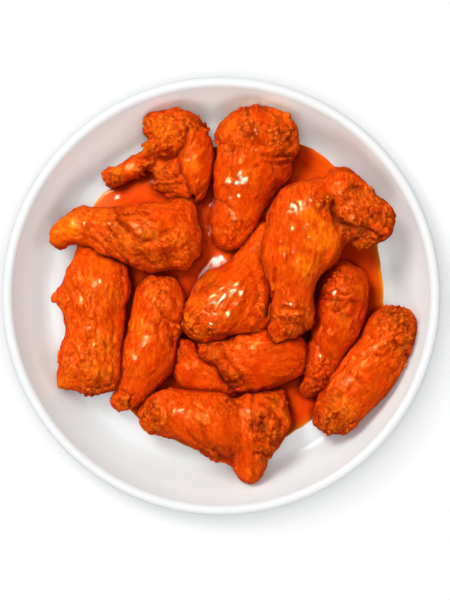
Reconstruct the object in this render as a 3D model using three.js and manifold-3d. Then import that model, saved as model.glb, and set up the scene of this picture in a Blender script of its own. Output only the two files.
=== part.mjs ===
// A serving of sauced chicken wings: twelve fried drumettes and flats heaped in a puddle of
// orange hot sauce, on a round white plate with an upright rim.
//
// Millimetres, +Z up. The origin is the centre of the plate's foot, on the table, and +Y points
// to the back of the plate. Food heights are measured from the plate's floor.
import * as THREE from "three";
import { ImprovedNoise } from "three/addons/math/ImprovedNoise.js";
import { mergeVertices } from "three/addons/utils/BufferGeometryUtils.js";
import Module from "manifold-3d";

const wasm = await Module();
wasm.setup();

// ---- Driving dimensions ----

const PLATE = {
  radius: 135, // to the outside of the rim
  height: 38,
  lip: 7, // thickness of the rounded rim
  floorTop: 7, // height of the eating surface above the table
  floorRadius: 106, // where the flat floor starts to curve up
  foot: { inner: 74, outer: 82, height: 2.5 },
  wall: 5,
  lean: 21, // of the wall's top from upright, in degrees
  segments: 52,
};
const SAUCE_DEPTH = 1.8;
const GAP = 0.35; // clearance between pieces that touch
const BLEND = 6; // how softly the lobes of one wing run together
const SKIN = { depth: 0.7, wave: 15 }; // uneven skin all over
const CRUST = { depth: 1.9, wave: 8.5 }; // knobbly batter on the crusted lobes
const RING_STEP = 4.8; // spacing of a wing's cross-sections
const SIDES = 16; // sides of each cross-section
const CAP_STEPS = 3; // rows that round off each end
const SHORE = { step: 8, gap: 1.4 }; // where the sauce meets a wing: spacing of points, and gap

// ---- Materials ----

const material = (color, roughness) =>
  new THREE.MeshStandardMaterial({ color, roughness, metalness: 0 });
const GLAZE = material("#f1edeb", 0.18);
const SAUCE = material("#d84a06", 0.12);
const SAUCED_SKIN = material("#ee5208", 0.25);

// ---- Solids: booleans by manifold-3d ----

// A three.js geometry as a manifold solid: one closed body with its shared vertices merged.
function solidOf(geometry) {
  const bare = new THREE.BufferGeometry();
  bare.setAttribute("position", geometry.getAttribute("position").clone());
  bare.setIndex(geometry.index);
  const merged = mergeVertices(bare, 1e-3);
  return new wasm.Manifold(
    new wasm.Mesh({
      numProp: 3,
      vertProperties: merged.attributes.position.array,
      triVerts: new Uint32Array(merged.index.array),
    }),
  );
}

// The largest body of a manifold solid, back as a three.js geometry.
function geometryOf(solid) {
  const bodies = solid.decompose().sort((a, b) => b.volume() - a.volume());
  const mesh = bodies[0].getMesh();
  const geometry = new THREE.BufferGeometry();
  geometry.setAttribute("position", new THREE.BufferAttribute(mesh.vertProperties, 3));
  geometry.setIndex(new THREE.BufferAttribute(mesh.triVerts, 1));
  geometry.computeVertexNormals();
  return geometry;
}

// ---- The plate ----

const rimCentre = new THREE.Vector2(
  PLATE.radius - PLATE.lip / 2,
  PLATE.height - PLATE.lip / 2,
);

// The point of the rim's round section that faces an angle in degrees, 0 being outwards.
function rimPoint(degrees) {
  const angle = THREE.MathUtils.degToRad(degrees);
  return new THREE.Vector2(Math.cos(angle), Math.sin(angle))
    .multiplyScalar(PLATE.lip / 2)
    .add(rimCentre);
}

// Points of a curve that is level at its start and steepens evenly up to its end.
function sweepUp(startX, startY, end, steps) {
  const points = [];
  for (let i = 0; i <= steps; i++) {
    const t = i / steps;
    points.push(
      new THREE.Vector2(startX + (end.x - startX) * t, startY + (end.y - startY) * t * t),
    );
  }
  return points;
}

// The inside of the dish from its centre to the rim, moved inwards by a clearance.
const insideProfile = (clearance) => [
  new THREE.Vector2(0, PLATE.floorTop + clearance),
  ...sweepUp(
    PLATE.floorRadius - clearance,
    PLATE.floorTop + clearance,
    rimPoint(180 - PLATE.lean).sub(new THREE.Vector2(clearance, 0)),
    5,
  ),
];

function plateGeometry() {
  const { foot, wall, lean } = PLATE;
  const underside = [
    new THREE.Vector2(0, foot.height),
    new THREE.Vector2(foot.inner - 1.5, foot.height),
    new THREE.Vector2(foot.inner, 0),
    new THREE.Vector2(foot.outer, 0),
    new THREE.Vector2(foot.outer + 1.5, PLATE.floorTop - wall),
  ];
  const outside = sweepUp(
    PLATE.floorRadius + 2,
    PLATE.floorTop - wall + 1,
    rimPoint(-lean),
    4,
  );
  const rim = [0, 45, 90, 135].map(rimPoint);
  const inside = insideProfile(0).reverse();
  const profile = [...underside, ...outside, ...rim, ...inside];
  return new THREE.LatheGeometry(profile, PLATE.segments).rotateX(Math.PI / 2);
}

// The free space inside the dish, up to well above the food.
function dishSpace() {
  const ceiling = 130;
  const profile = insideProfile(GAP);
  profile.push(
    new THREE.Vector2(rimCentre.x, ceiling),
    new THREE.Vector2(0, ceiling),
  );
  const geometry = new THREE.LatheGeometry(profile, PLATE.segments);
  return solidOf(geometry.rotateX(Math.PI / 2));
}

// ---- Wings: rounded lobes that run together, skinned along a keel ----

// A lobe is a stretched ball: its centre, its half-sizes along, across and up, the heading of
// its long axis in degrees from +X, and how crusted it is from 0 to 1.
const lobe = (at, half, heading = 0, crust = 0) => ({
  at: new THREE.Vector3(...at),
  half,
  heading: THREE.MathUtils.degToRad(heading),
  crust,
});

// Roughly the distance in millimetres from a point to a lobe's surface, negative inside.
const local = new THREE.Vector3();
const upright = new THREE.Vector3(0, 0, 1);
function lobeDistance({ at, half, heading }, point) {
  local.subVectors(point, at).applyAxisAngle(upright, -heading);
  const [a, b, c] = half;
  const near = Math.hypot(local.x / a, local.y / b, local.z / c);
  const slope = Math.hypot(local.x / a ** 2, local.y / b ** 2, local.z / c ** 2);
  return slope < 1e-9 ? -Math.min(a, b, c) : (near * (near - 1)) / slope;
}

const noise = new ImprovedNoise();
const noiseAt = (point, wave, seed) =>
  noise.noise(point.x / wave + seed, point.y / wave, point.z / wave);

// The wing's field: its lobes joined smoothly, with uneven skin and knobbly crust.
function wingDistance(lobes, point, seed) {
  let distance = Infinity;
  let crust = 0;
  for (const one of lobes) {
    const d = lobeDistance(one, point);
    const mix = Math.min(Math.max(0.5 + (d - distance) / (2 * BLEND), 0), 1);
    if (distance === Infinity) {
      distance = d;
      crust = one.crust;
    } else {
      distance = d + (distance - d) * mix - BLEND * mix * (1 - mix);
      crust = one.crust + (crust - one.crust) * mix;
    }
  }
  const skin = SKIN.depth * noiseAt(point, SKIN.wave, seed);
  const batter = CRUST.depth * crust * noiseAt(point, CRUST.wave, seed + 7.3);
  return distance - skin - batter;
}

const spineOf = (keel) =>
  new THREE.CatmullRomCurve3(keel.map((p) => new THREE.Vector3(...p)));

// A capsule whose spine follows the keel, with each vertex moved out to the field's surface.
function skinAlong({ keel, lobes }, seed, grow) {
  const spine = spineOf(keel);
  const rings = Math.max(2, Math.round(spine.getLength() / RING_STEP));
  const capsule = new THREE.CapsuleGeometry(1, 1, CAP_STEPS, SIDES, rings);
  const position = capsule.getAttribute("position");
  const point = new THREE.Vector3();
  for (let i = 0; i < position.count; i++) {
    const along = THREE.MathUtils.clamp(position.getY(i) + 0.5, 0, 1);
    const start = spine.getPointAt(along);
    const tangent = spine.getTangentAt(along);
    const side = new THREE.Vector3().crossVectors(tangent, upright).normalize();
    const top = new THREE.Vector3().crossVectors(side, tangent);
    const ray = new THREE.Vector3()
      .addScaledVector(side, position.getX(i))
      .addScaledVector(tangent, position.getY(i) + 0.5 - along)
      .addScaledVector(top, position.getZ(i))
      .normalize();
    const reach = surfaceAlong(start, ray, lobes, seed) + grow;
    point.copy(start).addScaledVector(ray, reach);
    position.setXYZ(i, point.x, point.y, point.z);
  }
  return solidOf(capsule);
}

// How far from a start inside the wing a ray leaves it, by stepping out and then halving.
function surfaceAlong(start, ray, lobes, seed) {
  const stride = 1;
  const furthest = 70;
  const point = new THREE.Vector3();
  const field = (t) =>
    wingDistance(lobes, point.copy(start).addScaledVector(ray, t), seed);
  let inside = 0;
  while (inside < furthest && field(inside + stride) < 0) inside += stride;
  let outside = inside + stride;
  for (let i = 0; i < 12; i++) {
    const middle = (inside + outside) / 2;
    if (field(middle) < 0) inside = middle;
    else outside = middle;
  }
  return inside;
}

const DRUMETTE_BACK_LEFT = {
  name: "drumette_back_left",
  parts: [
    {
      keel: [[-21, 68, 10], [-22, 82, 13], [-29, 100, 14.5]],
      lobes: [
        lobe([-29, 102, 15], [19.5, 14.5, 14], 0, 1),
        lobe([-45, 109, 13], [8.5, 5, 7], -10, 1),
        lobe([-42, 92, 12], [9, 5.5, 7], 10, 1),
        lobe([-17, 84, 14], [23, 11.5, 13.5], 88),
        lobe([-21, 66, 11], [10, 8, 10], 75),
        lobe([-34, 74, 8.5], [12, 11, 8.5], 80, 1),
      ],
    },
    {
      keel: [[-40, 85, 9], [-54, 81, 8], [-67, 75, 7]],
      lobes: [
        lobe([-46, 84.5, 9], [14, 6.5, 7.5], 22, 0.5),
        lobe([-62, 77.5, 7.5], [10, 4.8, 5.5], 27, 0.3),
        lobe([-68.5, 74.5, 7], [4.5, 5.5, 6], 27, 0.6),
      ],
    },
  ],
};

const DRUMETTE_BACK = {
  name: "drumette_back",
  parts: [
    {
      keel: [[6, 40, 10], [10, 58, 13], [17, 80, 16], [23, 98, 17]],
      lobes: [
        lobe([23, 99, 17], [27, 19, 16.5], -4, 1),
        lobe([17, 80, 16], [25, 21, 16], 72, 0.15),
        lobe([30, 81, 13], [14, 14, 13], 60, 0.2),
        lobe([12, 58, 13], [26, 15.5, 13], 70),
        lobe([6, 40, 10.5], [11, 10.5, 10.5], 80, 0.4),
        lobe([39, 95, 24], [10, 9, 8], 0, 1),
        lobe([14, 100, 27], [10, 8, 6], 0, 1),
      ],
    },
  ],
};

const DRUMETTE_LEFT = {
  name: "drumette_left",
  raised: true,
  parts: [
    {
      keel: [[-97, 39, 17.5], [-80, 43, 19.5], [-60, 39, 19], [-42, 37, 18.5], [-26, 40, 17]],
      lobes: [
        lobe([-41, 36.5, 18.5], [23, 21, 18], 0, 1),
        lobe([-24, 37, 17], [11, 20.5, 15], 8, 0.7),
        lobe([-23, 57.5, 14], [8, 5.5, 8], 10, 0.2),
        lobe([-61, 38, 19], [19, 17, 15], 8, 0.7),
        lobe([-80, 43, 19.5], [18, 10.5, 10.5], 0, 0.1),
        lobe([-86, 49, 18], [6, 5, 6], 0, 0.2),
        lobe([-97, 39, 17.5], [9, 7.5, 7.5], 30, 0.1),
        lobe([-101, 34, 16], [4, 4, 5]),
      ],
    },
  ],
};

const FLAT_LEFT = {
  name: "flat_left",
  parts: [
    {
      keel: [[-77, 22, 8], [-76.5, 5, 12], [-79, -20, 13], [-81, -47, 12]],
      lobes: [
        lobe([-79, -12, 13], [44, 18.6, 13.2], 93, 0.1),
        lobe([-76, 8, 13], [20, 20, 12.8], 82, 0.2),
        lobe([-76, 23, 8], [13, 13, 8.5], 80, 0.1),
        lobe([-100, -1, 11], [7, 5.5, 6], 5, 0.1),
        lobe([-82, -41, 13], [19, 20, 12.5], 90, 0.5),
        lobe([-95, -52, 10], [9, 8, 9], 90, 0.6),
        lobe([-69, -51, 10], [8, 7, 9], 90, 0.6),
        lobe([-80, -58, 8], [5, 3.5, 4], 90, 0.3),
      ],
    },
  ],
};

const FLAT_INNER_LEFT = {
  name: "flat_inner_left",
  parts: [
    {
      keel: [[-59, -63, 7.5], [-50, -50, 11], [-44, -32, 13], [-40, -12, 13], [-38, 1, 13]],
      lobes: [
        lobe([-38, -4, 13], [17, 15.5, 13], 97, 0.5),
        lobe([-41, -20, 13.5], [25, 15.5, 13.5], 83, 0.2),
        lobe([-45.5, -39, 13], [17, 16.8, 13], 72),
        lobe([-53.5, -56, 10], [14, 11, 10], 58),
        lobe([-61, -64, 7.5], [7, 6, 7], 58, 0.7),
        lobe([-30, -12, 14], [9, 7, 9], 90, 1),
      ],
    },
  ],
};

const DRUMETTE_CENTRE = {
  name: "drumette_centre",
  parts: [
    {
      keel: [[-13, -13, 14], [2, -4, 17], [14, 10, 16], [24, 32, 12]],
      lobes: [
        lobe([-3, -11, 17], [21, 16.5, 16.5], 12, 0.2),
        lobe([-15, -15, 13], [8.5, 12, 12], 12, 1),
        lobe([11, 3, 17], [24, 18, 16], 45),
        lobe([21, 22, 13], [19, 12, 12], 60),
        lobe([26, 37, 11], [9, 8, 9], 60, 0.4),
        lobe([20, -12, 15], [13, 13, 13], 0, 0.3),
        lobe([-7, 7, 9], [12, 8, 9], 40),
      ],
    },
  ],
};

const DRUMETTE_TOP = {
  name: "drumette_top",
  raised: true,
  parts: [
    {
      keel: [[43, -14, 26], [44, 4, 28], [47, 26, 30], [54, 46, 31]],
      lobes: [
        lobe([50, 50, 31], [24, 20, 17], 38, 0.1),
        lobe([60, 36, 29], [18, 16.5, 16], -60),
        lobe([44.5, 26, 30], [25, 19.5, 15.5], 93),
        lobe([44, 2, 28], [20, 13, 12.5], 90),
        lobe([43, -14, 26], [14.5, 11, 11], 0, 0.8),
        lobe([34, -25, 21], [7, 4.5, 6], 80, 0.2),
        lobe([61, 62, 28], [14, 10, 14], 20, 0.5),
      ],
    },
    {
      keel: [[62, 60, 31], [80, 55, 32], [97, 46, 30]],
      lobes: [
        lobe([82, 54, 32], [24, 15, 14], -34, 1),
        lobe([97, 45, 30], [9.5, 10, 11], 0, 1),
        lobe([75, 71, 31], [12, 8, 10.5], -14, 1),
        lobe([86, 36, 28], [11, 7.5, 10], 10, 1),
      ],
    },
  ],
};

const FLAT_CENTRE = {
  name: "flat_centre",
  parts: [
    {
      keel: [[-6, -36, 11], [10, -40, 13], [30, -38, 13], [46, -37, 11.5]],
      lobes: [
        lobe([27, -37, 13], [27, 19.5, 13.5], 0, 0.1),
        lobe([20, -46, 12], [16, 13.5, 12], 0),
        lobe([-3, -35, 11], [11.5, 9.5, 10], -20, 0.9),
        lobe([7, -49, 10], [9, 9, 9.5], 0, 1),
        lobe([44, -37, 11.5], [8.5, 12, 10.5], 0, 0.2),
      ],
    },
  ],
};

const FLAT_LOW = {
  name: "flat_low",
  parts: [
    {
      keel: [[-22, -38, 7.5], [-14, -47, 8.5], [-2, -55, 8]],
      lobes: [
        lobe([-14, -47.5, 9], [19, 13.5, 9.5], -30),
        lobe([-25, -33, 9], [6, 6, 7.5], 0, 1),
        lobe([0, -56, 8.5], [11, 9.5, 8.5], -30, 0.3),
      ],
    },
  ],
};

const DRUMETTE_FRONT = {
  name: "drumette_front",
  parts: [
    {
      keel: [[-42, -74, 12], [-22, -75, 15], [0, -79, 17], [20, -80, 16], [33, -77, 13]],
      lobes: [
        lobe([-29, -73, 15], [19, 15, 14.5], -8, 0.2),
        lobe([-42, -75, 12], [8, 11, 11], 0, 1),
        lobe([-6, -78, 17], [24, 19, 16.5], -18),
        lobe([0, -84, 19], [17, 8, 15], -72),
        lobe([23, -80, 16], [17, 20, 15.5], 0, 0.8),
        lobe([34, -61, 12], [5, 5, 6], 0, 1),
        lobe([36, -77, 12], [7, 10, 10], 0, 1),
      ],
    },
    {
      keel: [[-6, -94, 7.5], [8, -98, 9], [17, -103, 11]],
      lobes: [
        lobe([0, -96, 7.5], [16, 8, 7.5], -14, 0.3),
        lobe([18, -97, 12], [17, 10.5, 12], -82, 0.3),
        lobe([17, -110, 9], [7.5, 6, 8], -75, 0.3),
      ],
    },
  ],
};

const DRUMETTE_RIGHT = {
  name: "drumette_right",
  parts: [
    {
      keel: [[56, -56, 7], [63, -42, 10], [70, -22, 13], [76, -2, 15], [77, 9, 13]],
      lobes: [
        lobe([76.5, 3, 15], [17.5, 15.5, 14.5], 88, 0.4),
        lobe([73, -15, 14], [21, 15.5, 13.5], 76, 0.2),
        lobe([65, -37, 11.5], [18, 11.5, 11], 66),
        lobe([61, -49, 9], [9, 9, 8.5], 60, 0.7),
        lobe([54, -58, 7], [5, 5, 6], 45, 0.4),
      ],
    },
  ],
};

const FLAT_RIGHT = {
  name: "flat_right",
  parts: [
    {
      keel: [[71, -72, 12], [90, -46, 15], [107, -21, 16]],
      lobes: [
        lobe([91, -47, 15], [45, 17.5, 14], 53, 0.2),
        lobe([106, -21, 16], [15, 14.5, 13], 53, 0.9),
        lobe([72, -72, 12], [13, 13.5, 11], 53, 0.9),
        lobe([63, -76, 10], [5, 5, 7], 53, 1),
      ],
    },
  ],
};

// The heap from the bottom up: each wing is dented by those that lie on it, listed after it.
const WINGS = [
  FLAT_LOW,
  FLAT_CENTRE,
  FLAT_LEFT,
  FLAT_INNER_LEFT,
  FLAT_RIGHT,
  DRUMETTE_RIGHT,
  DRUMETTE_BACK_LEFT,
  DRUMETTE_BACK,
  DRUMETTE_FRONT,
  DRUMETTE_CENTRE,
  DRUMETTE_LEFT,
  DRUMETTE_TOP,
];

const seedOf = (wing) => WINGS.indexOf(wing) * 11.3;

// The wing's whole shape, before the plate and its neighbours press on it.
function wingShape({ parts }, seed, grow) {
  return parts
    .map((part) => skinAlong(part, seed, grow))
    .reduce((whole, part) => whole.add(part))
    .translate([0, 0, PLATE.floorTop]);
}

// ---- The sauce ----

// Where the puddle's edge runs, anticlockwise from the back left.
const SAUCE_EDGE = [
  [-63, 72], [-74, 65], [-81, 56], [-88, 42], [-91, 26], [-89, 10], [-86, -10],
  [-82, -32], [-72, -52], [-61, -67], [-51, -78], [-34, -89], [-6, -99], [22, -99],
  [45, -86], [59, -77], [77, -62], [94, -38], [102, -10], [101, 14], [97, 40],
  [85, 68], [69, 87], [53, 96], [24, 98], [-4, 94], [-30, 92], [-48, 84],
];

// The patch of plate one part of a wing takes up at the sauce's surface, as an upright prism.
function footprint({ keel, lobes }, seed) {
  const spine = spineOf(keel);
  const start = new THREE.Vector3();
  const ray = new THREE.Vector3();
  const shorePoint = (along, degrees) => {
    const tangent = spine.getTangentAt(along);
    const heading =
      Math.atan2(tangent.y, tangent.x) + THREE.MathUtils.degToRad(degrees);
    start.copy(spine.getPointAt(along)).setZ(GAP + SAUCE_DEPTH);
    ray.set(Math.cos(heading), Math.sin(heading), 0);
    const reach = surfaceAlong(start, ray, lobes, seed) + SHORE.gap;
    return new THREE.Vector2(start.x + ray.x * reach, start.y + ray.y * reach);
  };
  const steps = Math.round(spine.getLength() / SHORE.step);
  const stations = Array.from({ length: steps + 1 }, (_, i) => i / steps);
  const fan = [-60, -30, 0, 30, 60];
  const outline = [
    ...stations.map((along) => shorePoint(along, -90)),
    ...fan.map((degrees) => shorePoint(1, degrees)),
    ...stations.reverse().map((along) => shorePoint(along, 90)),
    ...fan.map((degrees) => shorePoint(0, 180 + degrees)),
  ];
  return prism(outline, -1, SAUCE_DEPTH + 3);
}

// An outline pulled straight up from a height above the plate's floor.
function prism(outline, from, depth) {
  const shape = new THREE.Shape(outline);
  const geometry = new THREE.ExtrudeGeometry(shape, { depth, bevelEnabled: false });
  return solidOf(geometry.translate(0, 0, PLATE.floorTop + from));
}

// The puddle, cut round every wing that stands in it.
function sauceGeometry(pressers, space) {
  const edge = new THREE.CatmullRomCurve3(
    SAUCE_EDGE.map(([x, y]) => new THREE.Vector3(x, y, 0)),
    true,
  );
  const puddle = prism(edge.getSpacedPoints(50), GAP, SAUCE_DEPTH);
  const prisms = WINGS.filter((wing) => !wing.raised).flatMap((wing) =>
    wing.parts.map((part) => footprint(part, seedOf(wing))),
  );
  const cutters = [...prisms, ...pressers];
  const cut = cutters.reduce((left, one) => left.subtract(one), puddle);
  return geometryOf(cut.intersect(space));
}

// ---- The serving ----

const serving = new THREE.Group();
serving.name = "chicken_wings_serving";

function addNode(name, geometry, finish) {
  const mesh = new THREE.Mesh(geometry, finish);
  mesh.name = name;
  serving.add(mesh);
}

addNode("plate", plateGeometry(), GLAZE);

const space = dishSpace();
const shapes = WINGS.map((wing) => wingShape(wing, seedOf(wing), 0));
const pressers = WINGS.map((wing) => wingShape(wing, seedOf(wing), GAP + 0.25));
WINGS.forEach((wing, i) => {
  const above = pressers.slice(i + 1);
  const pressed = above.reduce((left, one) => left.subtract(one), shapes[i]);
  addNode(wing.name, geometryOf(pressed.intersect(space)), SAUCED_SKIN);
});
addNode("sauce_pool", sauceGeometry(pressers, space), SAUCE);

export default serving;
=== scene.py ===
# The looks of a plate of sauced chicken wings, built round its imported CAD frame.
#
# The CAD solids carry the true forms. Each wing is refined here from its own solid: the solid
# becomes a distance field, is rounded, gets skin, crust and pits as relief, and is meshed again.
# Work is done in millimetres and handed to Blender in metres.
import itertools
import math

import bpy
import numpy as np
import openvdb
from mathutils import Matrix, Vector


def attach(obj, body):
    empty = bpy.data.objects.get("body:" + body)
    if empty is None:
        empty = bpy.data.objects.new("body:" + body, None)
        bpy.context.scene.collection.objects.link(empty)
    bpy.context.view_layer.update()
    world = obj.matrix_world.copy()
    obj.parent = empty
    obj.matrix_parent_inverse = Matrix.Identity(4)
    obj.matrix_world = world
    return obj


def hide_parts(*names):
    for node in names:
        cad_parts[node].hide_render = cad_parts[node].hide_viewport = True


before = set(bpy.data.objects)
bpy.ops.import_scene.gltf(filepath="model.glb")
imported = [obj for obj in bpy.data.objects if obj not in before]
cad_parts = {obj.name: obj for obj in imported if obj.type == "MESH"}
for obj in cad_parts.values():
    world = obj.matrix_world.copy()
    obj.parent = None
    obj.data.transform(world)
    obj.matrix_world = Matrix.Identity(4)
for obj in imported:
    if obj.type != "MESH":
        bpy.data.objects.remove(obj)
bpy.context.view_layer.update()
scene = bpy.context.scene

VOXEL = 0.7  # mesh resolution of the wings
MM = 0.001


# ---- Noise ----

class Lattice:
    """Seeded random numbers on the corners of a 3-D grid, for gradient and cell noise."""

    def __init__(self, seed):
        draw = np.random.RandomState(seed)
        self.order = draw.permutation(256).astype(np.int32)
        gradients = draw.normal(size=(256, 3))
        gradients /= np.linalg.norm(gradients, axis=1)[:, None]
        self.gradients = gradients.astype(np.float32)
        self.jitter = draw.random_sample((256, 3)).astype(np.float32)

    def corner(self, i, j, k):
        order = self.order
        return order[(order[(order[i & 255] + j) & 255] + k) & 255]

    def smooth(self, points, wave):
        """Gradient noise, about -1 to 1."""
        p = (points / wave).astype(np.float32)
        base = np.floor(p).astype(np.int32)
        f = p - base
        fade = f * f * f * (f * (f * 6 - 15) + 10)
        total = np.zeros(len(p), np.float32)
        share = (1 - fade, fade)
        for dx, dy, dz in itertools.product((0, 1), repeat=3):
            g = self.gradients[self.corner(base[:, 0] + dx, base[:, 1] + dy, base[:, 2] + dz)]
            dot = g[:, 0] * (f[:, 0] - dx) + g[:, 1] * (f[:, 1] - dy) + g[:, 2] * (f[:, 2] - dz)
            total += share[dx][:, 0] * share[dy][:, 1] * share[dz][:, 2] * dot
        return total * 1.6

    def cells(self, points, wave):
        """Distance to the nearest of scattered points, in waves."""
        p = (points / wave).astype(np.float32)
        base = np.floor(p).astype(np.int32)
        nearest = np.full(len(p), 9.0, np.float32)
        for dx, dy, dz in itertools.product((-1, 0, 1), repeat=3):
            i, j, k = base[:, 0] + dx, base[:, 1] + dy, base[:, 2] + dz
            spot = self.jitter[self.corner(i, j, k)]
            d2 = (
                (i + spot[:, 0] - p[:, 0]) ** 2
                + (j + spot[:, 1] - p[:, 1]) ** 2
                + (k + spot[:, 2] - p[:, 2]) ** 2
            )
            nearest = np.minimum(nearest, d2)
        return np.sqrt(nearest)


def step_up(x, low, high):
    """0 below low, 1 above high, and smooth between."""
    t = np.clip((x - low) / (high - low), 0, 1)
    return t * t * (3 - 2 * t)


# ---- The dish's inside, as in the CAD ----

FLOOR_TOP = 7.0
FLOOR_RADIUS = 106.0
RIM_RADIUS = 135.0
RIM_HEIGHT = 38.0
LIP = 7.0
LEAN = math.radians(21)  # of the wall's top from upright
WALL_REACH = RIM_RADIUS - LIP / 2 * (1 + math.cos(LEAN)) - FLOOR_RADIUS  # floor's edge to rim
WALL_RISE = RIM_HEIGHT - LIP / 2 * (1 - math.sin(LEAN)) - FLOOR_TOP


def above_dish(points):
    """How far points are clear of the dish's inner surface."""
    radius = np.hypot(points[:, 0], points[:, 1])
    t = np.clip((radius - FLOOR_RADIUS) / WALL_REACH, 0, 1)
    slope = 2 * WALL_RISE / WALL_REACH * t
    return (points[:, 2] - FLOOR_TOP - WALL_RISE * t * t) / np.sqrt(1 + slope * slope)


# ---- What each wing's surface is like, place by place ----
# Places are millimetres seen from above. A patch is (x, y, radius, amount): "crust" is knobbly
# batter, "brown" is toasted batter with little sauce on it, "gold" is skin or batter under thin
# sauce, "sleek" is smooth wet skin, "shade" is painted shade, a deeper red where shade falls on a
# wing, and "shine" is where the film of sauce lies level towards the window. A line is (width,
# height, points): a raised line is a ridge or flap, and a sunk one a crease, painted darker as
# shade. A whole wing has "base", its least crust, "deep", its least painted shade, "wet", its
# gloss, and "grain", the heading in degrees that wrinkles run along.

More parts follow.
